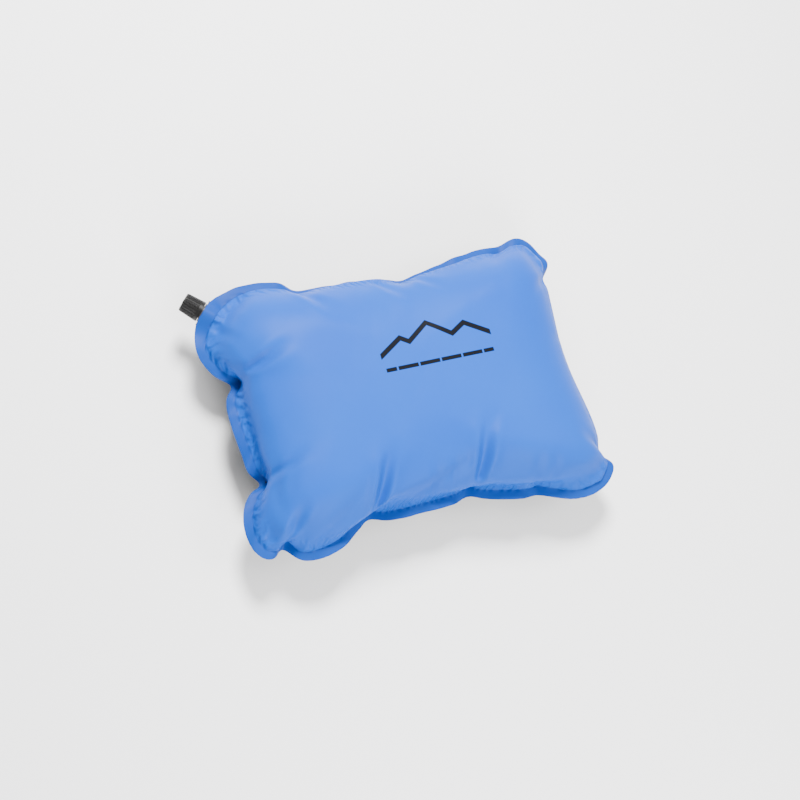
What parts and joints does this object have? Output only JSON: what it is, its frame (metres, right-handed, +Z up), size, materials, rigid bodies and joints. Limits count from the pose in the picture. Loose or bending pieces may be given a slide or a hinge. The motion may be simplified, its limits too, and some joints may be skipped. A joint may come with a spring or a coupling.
{
  "type": "camp pillow",
  "caption": "Self-inflating camping pillow: welded fabric panels round a foam core, one cut corner with a twist valve.",
  "frame": {"origin": "centre of the flat on the underside", "axes": "+Z up through the thickness from the back panel to the front panel, +X along the long side, the valve corner at -X +Y"},
  "size_m": [0.4238, 0.301, 0.1],
  "materials": {
    "front_fabric": "satin coated polyester",
    "back_fabric": "matt coated polyester",
    "foam": "open-cell foam, not seen",
    "weld_boat": "soft",
    "stem_plastic": "moulded",
    "seal_rubber": "matt",
    "cap_plastic": "moulded, knurled"
  },
  "bodies": {
    "pillow": {"front_panel": "front_fabric", "back_panel": "back_fabric", "foam_core": "foam", "valve_sleeve": "weld_boat", "valve_stem": "stem_plastic", "plug_tip": "seal_rubber"},
    "cap_seal": {"cap_o_ring": "seal_rubber"},
    "cap": {"valve_cap": "cap_plastic", "mouth_gasket": "seal_rubber"}
  },
  "joints": [
    {"name": "cap_lift", "type": "slide", "parent": "pillow", "child": "cap_seal", "axis": [-0.7314, 0.682, 0], "range_m": [0, 0.003]},
    {"name": "cap_turn", "type": "hinge", "parent": "cap_seal", "child": "cap", "pos_m": [-0.19119, 0.12911, 0.05], "axis": [-0.7314, 0.682, 0], "range_deg": [0, 360]}
  ],
  "couplings": [
    {"joint": "cap_turn", "follows": "cap_lift", "rad_per_m": 2094.4}
  ]
}
